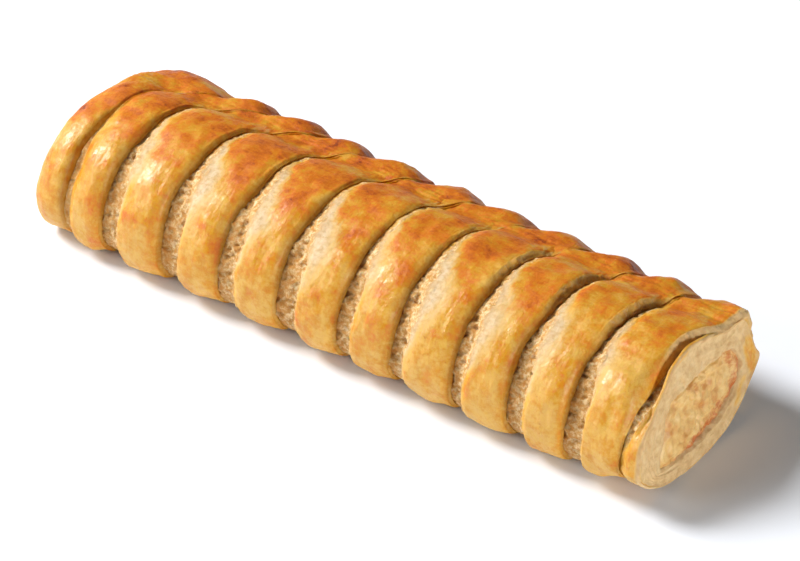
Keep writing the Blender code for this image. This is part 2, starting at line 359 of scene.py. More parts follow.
GROOVE_WANDER = 0.50 * MM    # how far a groove wanders from its line ...
GROOVE_WANDER_SIZE = 0.085   # ... and over what share of the way round
LAST_BAND_REACH = 1.7 * MM   # the last whole band reaches the cut over the top and the back ...
LAST_BAND_WIDENING = (0.49, 0.57)    # ... from between these shares of the outline on
DEPTH_VARIATION, DEPTH_VARIATION_SIZE, DEPTH_LINES = 0.16, 0.11, 20
CREST_VARIATION, CREST_VARIATION_SIZE, CREST_LINES = 0.035, 0.12, 40
CRISP_TOP = (0.37, 0.47, 0.57, 0.62)     # where right edges are crisp, as shares of the outline
CRISP_LAST = (0.40, 0.47, 0.74, 0.78)    # and on the last whole band
CRISP_FAR = 0.25             # how crisp they are on the far bands ...
CRISP_BANDS = (5.0, 7.5)     # ... up to the first of these bands; from the second on, wholly
BACK_LOBE = (0.59, 0.67, 0.80)           # where the bands end in round lobes at the back ...
FRONT_TOE = (0.14, 0.25)     # ... and, up to here, in round toes in front


def groove_x(groove, share):
    over = rise(*GROOVE_TURN, share)
    line = (GROOVE_FRONT_X[groove] * (1.0 - over) + GROOVE_BACK_X[groove] * over) * MM
    if groove == LAST_GROOVE:
        line = line + LAST_BAND_REACH * rise(*LAST_BAND_WIDENING, share)
    return line + GROOVE_WANDER * noise_along(share, groove, GROOVE_WANDER_SIZE)


def groove_depth(groove, share):
    if groove == LAST_GROOVE:
        return eased(LAST_GROOVE_DEPTH, share) * MM
    over_top = plateau(*TOP_STRETCH, share)
    depth = eased(GROOVE_DEPTH, share) * (1.0 - (1.0 - TOP_DEPTH[groove]) * over_top) * MM
    depth = depth * (1.0 - BRIDGE_FILL * bump(*BRIDGE, share))
    return depth * (1.0 + DEPTH_VARIATION * noise_along(share, groove + DEPTH_LINES, DEPTH_VARIATION_SIZE))


def band_shares(band, share):
    """(floor, crest) as shares of the band's width: where its flank starts and where it ends."""
    toe_floor = TOE_GAP[band] * MM / (groove_x(band + 1, share) - groove_x(band, share))
    floor = blend(eased(FLOOR_SHARE, share), toe_floor, fall(*TOE_SPREAD, share))
    crest = np.maximum(eased(CREST_SHARE, share), floor + LEAST_FLANK)
    return floor, crest + CREST_VARIATION * noise_along(share, band + CREST_LINES, CREST_VARIATION_SIZE)


def crisp_edge(band, share):
    """1 where a band's right edge is a crisp cut, at the top; 0 where it is round."""
    if band == 0:
        return np.zeros_like(share)
    if band == LAST_GROOVE - 1:
        return plateau(*CRISP_LAST, share)
    return blend(CRISP_FAR, 1.0, rise(*CRISP_BANDS, float(band))) * plateau(*CRISP_TOP, share)


def band_section(band, share):
    """Closed section of a band as points (x, height), each an array over share."""
    left, right = groove_x(band, share), groove_x(band + 1, share)
    deep_left, deep_right = groove_depth(band, share), groove_depth(band + 1, share)
    floor, crest = band_shares(band, share)
    crisp = crisp_edge(band, share)
    toe = fall(*FRONT_TOE, share)
    # At the back the bands end in round lobes beyond a low saddle, and in front in round toes.
    round_end = np.maximum(bump(*BACK_LOBE, share), toe)
    lift = BAND_LIFTS[band] * np.minimum(1.0, deep_left / MM) - SADDLE * bump(*SADDLE_SHARES, share)

    def at(across, height):
        """A point a share of the way across the band, at a height."""
        return np.stack([left + (right - left) * across, height])

    flank = crest - floor
    edge = 0.965 + 0.02 * toe
    points = [
        at(floor - 0.015, -deep_left - BAND_TUCK),
        at(floor + 0.16 * flank, -0.74 * deep_left + 0.3 * lift),
        at(floor + 0.52 * flank, -0.36 * deep_left + 0.7 * lift),
        at(crest, -0.08 * deep_left + lift),
        at(0.5 * (crest + 0.80 - 0.10 * round_end), lift),
        at(0.80 + 0.04 * crisp - 0.10 * round_end,
           -(0.09 - 0.06 * crisp + 0.04 * round_end) * deep_right + lift),
        at(0.905 - 0.005 * crisp - 0.04 * round_end,
           -(0.30 - 0.21 * crisp + 0.12 * round_end) * deep_right + lift),
        at(edge - 0.010 - 0.030 * crisp, -(0.55 - 0.32 * crisp) * deep_right + lift),
        at(edge + 0.010 + 0.008 * crisp, -0.76 * deep_right + 0.5 * lift),
        at(edge + 0.033, -deep_right - BAND_TUCK),
        at(0.86, -deep_right - BAND_UNDERSIDE),
        at(floor + 0.10, -deep_left - BAND_UNDERSIDE),
    ]
    return np.stack(points)      # [point, 2, share]


CREST_POINT = 3              # points of a section: the end of the flank, ...
SHOULDER_POINT = 5           # ... the end of the crest, ...
WALL_POINTS = (6, 7)         # ... the top of the wall on the right, ...
FOOT_POINT, UNDERSIDE_POINT = 9, 10      # ... its foot and the start of the underside


def sink_ends(share):
    """How deep a band's two ends are pushed into the dough below."""
    start, end = BAND_SHARES
    return END_SINK * (1.0 - plateau(start, start + END_TAPER, end - END_TAPER, end, share))


# ---- Egg wash, crumb, baking, painted shade and painted light of the skin, and its relief ----

# Each takes its noise from a layer of its own; these three are multiplied by the band's number.
WASH_LAYER, STREAK_LAYER, CRUMB_LAYER = 11.0, 17.0, 13.0
WASH_EDGE = (0.06, 3, 2.2, 4.5)
WASH_STREAKS = (1.0, 2, 0.7, 2.6)
TORN_STRETCH = (0.535, 0.575, 0.625)     # the wash tears where the bands run together ...
TORN_BARENESS = 0.42         # ... and leaves this much bare
CRUMB_EDGE = (0.055, 3, 0.8, 1.6)
CREVICE_SHADE, CREVICE_FADE = 0.85, 0.70     # shade beside a wall, and how much of it fades away
CLOSED_SHADE = 0.95          # shade of the narrow gap before the closed band
BRIDGE_PALENESS = 0.7        # pale dough bridges the last groove's foot, and above it the crumb of the deep slot is painted paler, painted light against its shade ...
BRIDGE_STRETCH = (0.24, 0.32, 0.50)      # ... between these shares of the outline

# How deeply the crust is baked, from 0, pale gold, to 1, dark brown: (share of the way round, level).
BAKE_LEVEL = (
    (0.12, 0.12), (0.20, 0.17), (0.25, 0.24), (0.30, 0.27), (0.36, 0.29), (0.43, 0.54),
    (0.52, 0.60), (0.58, 0.54), (0.62, 0.62), (0.72, 0.76), (0.78, 0.60),
)
FAR_BROWNING, NEAR_PALENESS = 0.02, 0.13     # at the two ends of the roll
CREST_EDGE_PALENESS = 0.10
# Bake level of the bands' front right edges, which face away from the key light: a set gold, paler than the
# crust round them higher up, painted light against their shade.
RIGHT_EDGE_PAINTED_LIGHT = 0.30
# Bake level of the creases and the lower walls: paler than the crust round them, most over the top, painted
# light against their shade.
CREASE_PAINTED_LIGHT = 0.18
BAKE_LAYER, BAKE_LAYER_STEP = 5.0, 3.1
BAKE_PATCHES, PATCHINESS, SHEEN_CALM = (1.0, 2, 4.8, 6.5), 0.25, 0.11
BAKE_FLECKS = (0.07, 1, 2.2, 3.0)

CRUMB_RELIEF_LAYERS = (71.0, 73.0, 77.0)     # of the lumps, the strands and the pits
CRUMB_LUMPS = (0.26, 1, 1.7, 1.7)
CRUMB_STRANDS = (0.16, 1, 1.6, 0.55)
CRUMB_PITS, PIT_RIM, PIT_DEPTH = (1.0, 2, 1.3, 1.0), 0.22, 0.8
RELIEF_LAYER = 9.0
SWELLS, SWELL_SINK = ((0.32, 1, 5.5, 8.0), (0.17, 1, 2.1, 3.0)), 0.18
SHOULDER_CREASES = ((0.07, 1, 1.0, 3.5), (0.05, 1, 0.6, 1.8))
LOWER_LUMPS = ((0.07, 1, 1.2, 1.3),)
STRETCH_MARKS = ((0.12, 1, 2.6, 0.7), (0.08, 1, 1.4, 0.5))
TORN_GRAIN = ((0.05, 1, 1.4, 1.4), (0.06, 1, 0.6, 0.6))
SKIN_GRAIN = ((0.04, 1, 0.7, 0.7),)


def wash_cover(band, x, share, across):
    """How far a place on a band is covered by egg wash, from 0 to 1."""
    ragged = skin_noise(x, share, WASH_LAYER * band, WASH_EDGE)
    start = eased(WASH_START, share) * BARE_FLANK[band]
    soft = 0.10 + 0.16 * bump(0.24, 0.36, 0.50, share)
    streaks = skin_noise(x, share, STREAK_LAYER * band, WASH_STREAKS)
    torn = rise(0.12, 0.45, streaks) * bump(*TORN_STRETCH, share) * rise(0.45, 0.85, across)
    return rise(start - soft, start + soft, across + ragged) * (1.0 - TORN_BARENESS * torn)


def crumb_cover(band, x, share, across):
    """How far a place is open, torn crumb: the groove floor and the foot of the flank."""
    floor, _ = band_shares(band, share)
    ragged = skin_noise(x, share, CRUMB_LAYER * band, CRUMB_EDGE)
    soft = 0.04 + 0.11 * rise(0.26, 0.34, share)
    foot = np.maximum(floor + 0.02, eased(CRUMB_FOOT, share) * np.minimum(1.0, BARE_FLANK[band]))
    return fall(foot - soft, foot + soft, across + ragged) * (1.0 - bump(*SADDLE_SHARES, share))


def crumb_shade(band, share, across):
    """How dark the open crumb is painted: painted shade, darkest right beside the wall of the band before,
    paler higher up, and with more painted shade where the band before overhangs it.
    """
    floor, _ = band_shares(band, share)
    shade = CREVICE_SHADE - CREVICE_FADE * rise(-0.02, np.maximum(floor, 0.12) * 0.9, across)
    shade = shade * (1.0 - 0.45 * rise(0.26, 0.36, share)) + 0.10 * bump(0.25, 0.34, 0.47, share)
    if band == LAST_GROOVE:
        shade = shade - BRIDGE_PALENESS * bump(*BRIDGE_STRETCH, share)
    return np.maximum(shade, CLOSED_SHADE if band == CLOSED_BAND else 0.0)


def browning_and_edge_light(band, x, share, across):
    """How deeply the egg-washed crust is baked, with its patches, and the set gold of the front right edges,
    painted light.
    """
    level = eased(BAKE_LEVEL, share)
    level = level + FAR_BROWNING * fall(0.0, 5.0, band) - NEAR_PALENESS * rise(6.0, 10.0, band)
    level = level - CREST_EDGE_PALENESS * rise(0.62, 0.88, across) * bump(0.36, 0.48, 0.58, share)
    # The front right edges take a set gold: painted light against their shade.
    level = blend(level, RIGHT_EDGE_PAINTED_LIGHT, rise(0.80, 0.97, across) * fall(0.42, 0.52, share))
    layer = BAKE_LAYER + BAKE_LAYER_STEP * band
    patchiness = PATCHINESS - SHEEN_CALM * bump(0.20, 0.30, 0.40, share)
    patches = patchiness * skin_noise(x, share, layer, BAKE_PATCHES)
    return level + patches + skin_noise(x, share, layer, BAKE_FLECKS)


def glossiness(share, across):
    """How glossy the egg-washed crust is: most on the front shoulder, least at edges and at the back."""
    level = 0.25 + 0.75 * bump(0.15, 0.31, 0.50, share)
    return level * (1.0 - 0.7 * rise(0.82, 0.96, across))


def crumb_relief(x, share):
    """Height of torn, porous dough, in mm."""
    patterns = (CRUMB_LUMPS, CRUMB_STRANDS, CRUMB_PITS)
    lumps, strands, pits = (
        skin_noise(x, share, layer, pattern) for layer, pattern in zip(CRUMB_RELIEF_LAYERS, patterns))
    return lumps + strands - PIT_DEPTH * np.maximum(0.0, pits - PIT_RIM)


def band_relief(x, share, glaze):
    """Height of the fine unevenness on a band's skin, in mm."""
    def uneven(patterns):
        return sum(skin_noise(x, share, RELIEF_LAYER, pattern) for pattern in patterns)

    swell = uneven(SWELLS) - SWELL_SINK + uneven(LOWER_LUMPS) * fall(0.26, 0.34, share)
    swell = swell + uneven(STRETCH_MARKS) * bump(0.53, 0.595, 0.67, share)
    washed = swell + uneven(SHOULDER_CREASES) * bump(0.16, 0.34, 0.47, share) + uneven(SKIN_GRAIN)
    return blend(uneven(TORN_GRAIN) + 0.5 * swell, washed, glaze)


def skin_relief(x, share, glaze, crumb):
    """Height of the skin's unevenness, in metres."""
    return blend(band_relief(x, share, glaze), crumb_relief(x, share), crumb) * MM


# ---- Mesh making ----


def deselect_all():
    if bpy.context.object and bpy.context.object.mode != "OBJECT":
        bpy.ops.object.mode_set(mode="OBJECT")
    bpy.ops.object.select_all(action="DESELECT")


def name_piece(name):
    thing = bpy.context.object
    thing.name = thing.data.name = name
    return thing


def vertex_numbers(vectors, key):
    """Three numbers for each vertex, as an array [n, 3]."""
    numbers = np.empty(len(vectors) * 3)
    vectors.foreach_get(key, numbers)
    return numbers.reshape(-1, 3)


def move_vertices(mesh, places):
    places = np.clip(places, *CAD_BOX)
    mesh.vertices.foreach_set("co", np.ascontiguousarray(places, dtype=np.float32).ravel())
    mesh.update()


def face_outwards(join_within=None):
    """Turns all faces outwards, once vertices closer than join_within are merged."""
    bpy.ops.object.mode_set(mode="EDIT")
    bpy.ops.mesh.select_all(action="SELECT")
    if join_within:
        bpy.ops.mesh.remove_doubles(threshold=join_within)
    bpy.ops.mesh.normals_make_consistent(inside=False)
    bpy.ops.object.mode_set(mode="OBJECT")


def paint(mesh, name, values):
    """Stores one number for each vertex, for the material to read."""
    layer = mesh.attributes.new(name, "FLOAT", "POINT")
    layer.data.foreach_set("value", np.ascontiguousarray(values, dtype=np.float32))


def map_surface(mesh, along, share):
    """UV map in mm: U along the roll and V round it, so that a pattern can follow the bands."""
    layer = mesh.uv_layers[0]
    layer.name = "roll_map"
    corners = np.empty(len(mesh.loops), dtype=np.int32)
    mesh.loops.foreach_get("vertex_index", corners)
    uv = np.stack([along[corners] / MM, share[corners] * WAY_ROUND / MM], axis=-1)
    layer.data.foreach_set("uv", uv.astype(np.float32).ravel())


def add_ball(name, segments, rings):
    """A ball to be reshaped, with each vertex's ring and angle round the axis."""
    deselect_all()
    bpy.ops.mesh.primitive_uv_sphere_add(segments=segments, ring_count=rings, radius=1.0)
    piece = name_piece(name)
    x, y, z = vertex_numbers(piece.data.vertices, "co").T
    ring = np.rint(np.arccos(np.clip(z, -1.0, 1.0)) / math.pi * rings).astype(int)
    return piece, ring, np.arctan2(y, x)


def finish_piece(piece, material, node):
    bpy.ops.object.shade_smooth()
    piece.data.materials.append(material)
    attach(piece, BODY)
    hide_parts(node)


# ---- Materials ----

COLOUR_A, COLOUR_B, COLOUR_RESULT = 6, 7, 2      # the Mix node's sockets for colours
EVEN = (0.3, 0.7)            # the range that most grains keep to
COAT_ROUGHNESS = 0.30
PLAIN_ROUGHNESS, TORN_ROUGHNESS, FLOOR_ROUGHNESS = 0.62, 0.85, 0.9
DOUGH_GLOW, MEAT_GLOW = (1.0, 0.5, 0.25), (1.0, 0.6, 0.4)    # how far red, green and blue pass
DOUGH_GLOW_DEPTH, MEAT_GLOW_DEPTH = 1.2 * MM, 1.0 * MM


def linear(red, green, blue):
    """A colour as seen, 0 to 255 a channel, in the linear values that shaders take."""
    def channel(value):
        value /= 255.0
        return value / 12.92 if value <= 0.04045 else ((value + 0.055) / 1.055) ** 2.4
    return (channel(red), channel(green), channel(blue), 1.0)


class MaterialRecipe:
    """A material in the making: adds shader nodes and joins them."""

    def __init__(self, name):
        self.material = bpy.data.materials.new(name)
        self.material.use_nodes = True
        self.tree = self.material.node_tree
        self.shader = self.tree.nodes["Principled BSDF"]
        self.places = self.node("ShaderNodeTexCoord").outputs["Object"]
        self.map = self.node("ShaderNodeUVMap", settings={"uv_map": "roll_map"}).outputs["UV"]

    def node(self, kind, settings=None, **inputs):
        made = self.tree.nodes.new(kind)
        for key, value in (settings or {}).items():
            setattr(made, key, value)
        for key, value in inputs.items():
            self.feed(made.inputs[key.replace("_", " ")], value)
        return made

    def feed(self, socket, value):
        if isinstance(value, bpy.types.NodeSocket):
            self.tree.links.new(value, socket)
        else:
            socket.default_value = value

    def painted(self, name):
        return self.node("ShaderNodeAttribute", settings={"attribute_name": name}).outputs["Fac"]

    def looks(self, **inputs):
        """Feeds the shader's own sockets."""
        for key, value in inputs.items():
            self.feed(self.shader.inputs[key.replace("_", " ")], value)

    def grain(self, coordinates, scale, detail, roughness):
        """Noise from 0 to 1; scale is its fineness, one number or one for each axis."""
        scale = scale if isinstance(scale, tuple) else (scale,) * 3
        vector = self.node("ShaderNodeMapping", Vector=coordinates, Scale=scale).outputs["Vector"]
        return self.node("ShaderNodeTexNoise", Vector=vector, Scale=1.0, Detail=detail,
                         Roughness=roughness).outputs["Fac"]

    def maths(self, operation, first, second=0.0):
        made = self.node("ShaderNodeMath", settings={"operation": operation})
        self.feed(made.inputs[0], first)
        self.feed(made.inputs[1], second)
        return made.outputs[0]

    def plus(self, first, second):
        return self.maths("ADD", first, second)

    def minus(self, first, second):
        return self.maths("SUBTRACT", first, second)

    def times(self, first, second):
        return self.maths("MULTIPLY", first, second)

    def spread(self, value, low, high, to_low=0.0, to_high=1.0):
        made = self.node("ShaderNodeMapRange", settings={"clamp": True})
        for socket, given in zip(made.inputs, (value, low, high, to_low, to_high)):
            self.feed(socket, given)
        return made.outputs["Result"]

    def ramp(self, value, stops):
        made = self.node("ShaderNodeValToRGB", Fac=value)
        elements = made.color_ramp.elements
        while len(elements) > 1:
            elements.remove(elements[-1])
        elements[0].position, elements[0].color = stops[0]
        for place, colour in stops[1:]:
            elements.new(place).color = colour
        return made.outputs["Color"]

    def mix(self, share, first, second):
        made = self.node("ShaderNodeMix", settings={"data_type": "RGBA"})
        self.feed(made.inputs["Factor"], share)
        self.feed(made.inputs[COLOUR_A], first)
        self.feed(made.inputs[COLOUR_B], second)
        return made.outputs[COLOUR_RESULT]

    def relief(self, height, distance, strength, under=None):
        made = self.node("ShaderNodeBump", Height=height, Distance=distance, Strength=strength)
        if under is not None:
            self.feed(made.inputs["Normal"], under)
        return made.outputs["Normal"]


def crust_material(look):
    """Puff pastry: pale torn dough, open crumb, cut layers and egg-washed golden crust in one."""
    recipe = MaterialRecipe("baked_crust")
    plus, minus, times, spread, mix = recipe.plus, recipe.minus, recipe.times, recipe.spread, recipe.mix
    glaze, bake_and_shade, crumb, cut, glossy = (
        recipe.painted(name) for name in ("glaze", "bake_and_shade", "crumb", "cut", "shine"))
    blotches = recipe.grain(recipe.places, 330.0, 5.0, 0.62)
    fine = recipe.grain(recipe.places, 1300.0, 3.0, 0.6)
    pores = recipe.grain(recipe.places, 1100.0, 4.0, 0.7)
    specks = recipe.grain(recipe.places, 900.0, 2.0, 0.5)
    layers = recipe.grain(recipe.places, (600.0, 500.0, 500.0), 4.0, 0.6)
    streaks = recipe.grain(recipe.map, (0.7, 0.9, 1.0), 4.0, 0.6)
    creases = recipe.grain(recipe.map, (1.5, 0.30, 1.0), 4.0, 0.6)
    wrinkles = minus(recipe.grain(recipe.map, (0.62, 0.38, 1.0), 5.0, 0.62), 0.5)
    wrinkles = spread(recipe.maths("ABSOLUTE", wrinkles), 0.0, 0.035, 1.0, 0.0)

    # Egg-washed crust, paler where the wash is thin.
    baked = plus(bake_and_shade, spread(blotches, 0.34, 0.66, -0.24, 0.22))
    baked = plus(baked, spread(fine, *EVEN, -0.13, 0.13))
    golden = recipe.ramp(minus(baked, spread(glaze, 0.35, 1.0, 0.34, 0.0)), (
        (0.00, look.straw), (0.30, look.gold), (0.60, look.orange), (0.90, look.deep_brown),
        (1.00, look.burnt)))
    # Bare dough, open crumb and cut layers.
    pale = recipe.ramp(streaks, ((0.32, look.cream_shade), (0.56, look.cream)))
    # The pale dough is painted darker towards the open crumb at the flank's foot: painted shade.
    pale = mix(spread(crumb, 0.0, 0.40, 0.0, 0.8), pale, look.cream_shade)
    pale = mix(spread(glaze, 0.04, 0.40, 0.0, 0.55), pale, look.straw)
    # The open crumb's hollows and pores, low in its relief, are painted darker: painted shade. The darker
    # ramp is taken where the crumb is given painted shade.
    light_crumb = recipe.ramp(pores, (
        (0.34, look.crumb_deep), (0.48, look.crumb), (0.61, look.crumb_light)))
    dark_crumb = recipe.ramp(pores, (
        (0.30, look.crumb_pit), (0.48, look.crumb_deep), (0.62, look.crumb)))
    cut_dough = recipe.ramp(layers, ((0.34, look.cut_shade), (0.60, look.cut_dough)))
    # The cut dough darkens with this value: painted shade on the far cut and down the walls.
    cut_dough = mix(times(bake_and_shade, 0.75), cut_dough, look.crumb_deep)

    washed = spread(plus(glaze, spread(creases, *EVEN, -0.22, 0.22)), 0.30, 0.75)
    torn = spread(plus(crumb, spread(pores, *EVEN, -0.25, 0.25)), 0.30, 0.70)
    dull = recipe.maths("MAXIMUM", torn, cut)
    colour = mix(torn, mix(washed, pale, golden), mix(bake_and_shade, light_crumb, dark_crumb))
    colour = mix(cut, colour, cut_dough)
    colour = mix(times(spread(specks, 0.70, 0.78, 0.0, 0.45), washed), colour, look.deep_brown)
    colour = mix(times(times(times(wrinkles, washed), 0.22), minus(1.0, dull)), colour, look.orange)

    shiny = times(washed, glossy)
    rough = spread(shiny, 0.0, 1.0, PLAIN_ROUGHNESS, look.glaze_roughness)
    rough = plus(rough, spread(fine, *EVEN, -0.06, 0.10))
    skin = minus(plus(times(creases, 0.8), times(blotches, 0.7)), times(wrinkles, 0.18))
    crumbs = plus(times(pores, 1.6), times(streaks, 0.5))
    height = mix(torn, mix(washed, crumbs, skin), times(pores, 2.6))
    recipe.looks(
        Base_Color=colour,
        Roughness=mix(dull, rough, (TORN_ROUGHNESS,) * 3 + (1.0,)),
        Normal=recipe.relief(fine, 0.07 * MM, 0.6, under=recipe.relief(height, 0.25 * MM, 0.75)),
        Specular_IOR_Level=look.gloss,
        Coat_Weight=times(shiny, spread(dull, 0.0, 1.0, look.egg_coat, 0.0)),
        Coat_Roughness=COAT_ROUGHNESS,
        Subsurface_Weight=look.softness,
        Subsurface_Radius=DOUGH_GLOW,
        Subsurface_Scale=DOUGH_GLOW_DEPTH,
    )
    return recipe.material


def filling_material(look):
    """Minced chicken: beige, fibrous, with browned juices towards the rim and painted shade on the far face.
    """
    recipe = MaterialRecipe("chicken_filling")
    lumps = recipe.grain(recipe.places, (330.0, 300.0, 300.0), 4.0, 0.6)
    shreds = recipe.grain(recipe.places, (900.0, 700.0, 1200.0), 4.0, 0.65)
    meat = recipe.ramp(lumps, ((0.32, look.meat_shade), (0.50, look.meat), (0.68, look.meat_light)))
    juice = recipe.plus(recipe.painted("rim"), recipe.spread(shreds, *EVEN, -0.45, 0.30))
    juice = recipe.spread(juice, 0.30, 0.90, 0.0, 0.85)
    recipe.looks(
        Base_Color=recipe.mix(juice, meat, look.juice),
        Roughness=recipe.spread(shreds, *EVEN, 0.40, 0.62),
        Normal=recipe.relief(recipe.plus(lumps, shreds), 0.35 * MM, 0.6),
        Subsurface_Weight=look.softness,
        Subsurface_Radius=MEAT_GLOW,
        Subsurface_Scale=MEAT_GLOW_DEPTH,
    )
    return recipe.material


def floor_material(look):
    recipe = MaterialRecipe("studio_floor")
    recipe.looks(Base_Color=look.floor, Roughness=FLOOR_ROUGHNESS, Specular_IOR_Level=0.0)
    return recipe.material


def crust(look):
    return bpy.data.materials.get("baked_crust") or crust_material(look)


# ---- The dough core: groove floors, cut faces and underside ----

SCORED = (0.06, 0.10, 0.735, 0.755)      # the scored part of the outline
LOWER_BACK, LOWER_FRONT = (0.78, 0.86), (0.09, 0.14)     # where the lower sheet starts
RIM_ROUNDS = 4               # steps that find where the near cut meets the outside
FAR_EDGE = ((0.0, -0.5), (0.6, -0.08))   # the far rim's rounding: (mm from the cut, height in mm)
CRUMB_OVER_TOP = (0.40, 0.48)            # the open crumb thins out over the top
SLICE_CURVE = ((0.0, 0.0), (0.18, 0.62), (0.40, 0.98), (0.62, 1.0))  # shares of its width and rise
SLICE_ROUNDING, SLICE_EDGE = 0.15 * MM, 0.60 * MM
NEAR_CLEARANCE, FAR_CLEARANCE = 0.15 * MM, 0.3 * MM      # between the filling and its tunnel
TUNNEL_WANDER, TUNNEL_WAVES, TUNNEL_RADIUS = 0.5 * MM, 46.0, 12.0 * MM
TUNNEL_PARTS = (0.03, 0.35, 0.65, 0.97)  # rows of the tunnel, as shares of its length
NEAR_FACE_LAYER, FAR_FACE_LAYER = 3.0, 23.0
FACE_DEPTH = 11.0            # mm from a cut's rim to the tunnel, for its noise
SEAM_GAP = 0.002 * MM        # vertices closer than this are joined


def core_shares():
    """Shares of the way round for the core's sides, closer together on the scored part."""
    start, end = FINE_SHARES
    fine = np.linspace(start, end, FINE_SIDES, endpoint=False)
    coarse = np.linspace(end, 1.0 + start, CORE_SIDES - FINE_SIDES + 1)
    return np.concatenate([fine, coarse])


def filling_reach(turn):
    """Distance from the filling's centre to its outline, in the direction turn."""
    curve = FILLING_CURVE - np.array(FILLING_CENTRE)
    angles = np.arctan2(curve[:, 1], curve[:, 0])
    order = np.argsort(angles)
    return np.interp(turn, angles[order], np.hypot(curve[:, 0], curve[:, 1])[order], period=math.tau)


def from_filling_centre(turn, reach):
    return np.array(FILLING_CENTRE) + np.stack([np.cos(turn) * reach, np.sin(turn) * reach], axis=-1)


def filling_edge(share, x, clearance):
    """Points (y, z) on the filling's outline, in line with the outline point at that share."""
    y, z = outline_point(x, share)
    turn = np.arctan2(z - FILLING_CENTRE[1], y - FILLING_CENTRE[0])
    return from_filling_centre(turn, filling_reach(turn) + clearance)


def face_relief(share, inward, layer):
    """Unevenness of a cut face: layers that follow the rim, as metres along X."""
    places = np.column_stack([
        np.full_like(share, inward * FACE_DEPTH), share * WAY_ROUND / MM, np.full_like(share, layer)])
    layers = 0.11 * noise(places, (0.9, 7.0)) + 0.07 * noise(places, (0.6, 1.1))
    return (layers + 0.26 * noise(places, (2.6, 3.2))) * MM


def to_patches(yz):
    """Distance from points (y, z) on the near cut to its golden patches; below 0 inside them."""
    distance = np.full(len(yz), 1.0)
    for (y1, z1), (y2, z2), radius in GOLDEN_PATCHES:
        start, line = np.array((y1, z1)) * MM, np.array((y2 - y1, z2 - z1)) * MM
        part = np.clip((yz - start) @ line / (line @ line), 0.0, 1.0)
        away = np.linalg.norm(yz - start - part[:, None] * line, axis=1)
        distance = np.minimum(distance, away - radius * MM)
    return distance


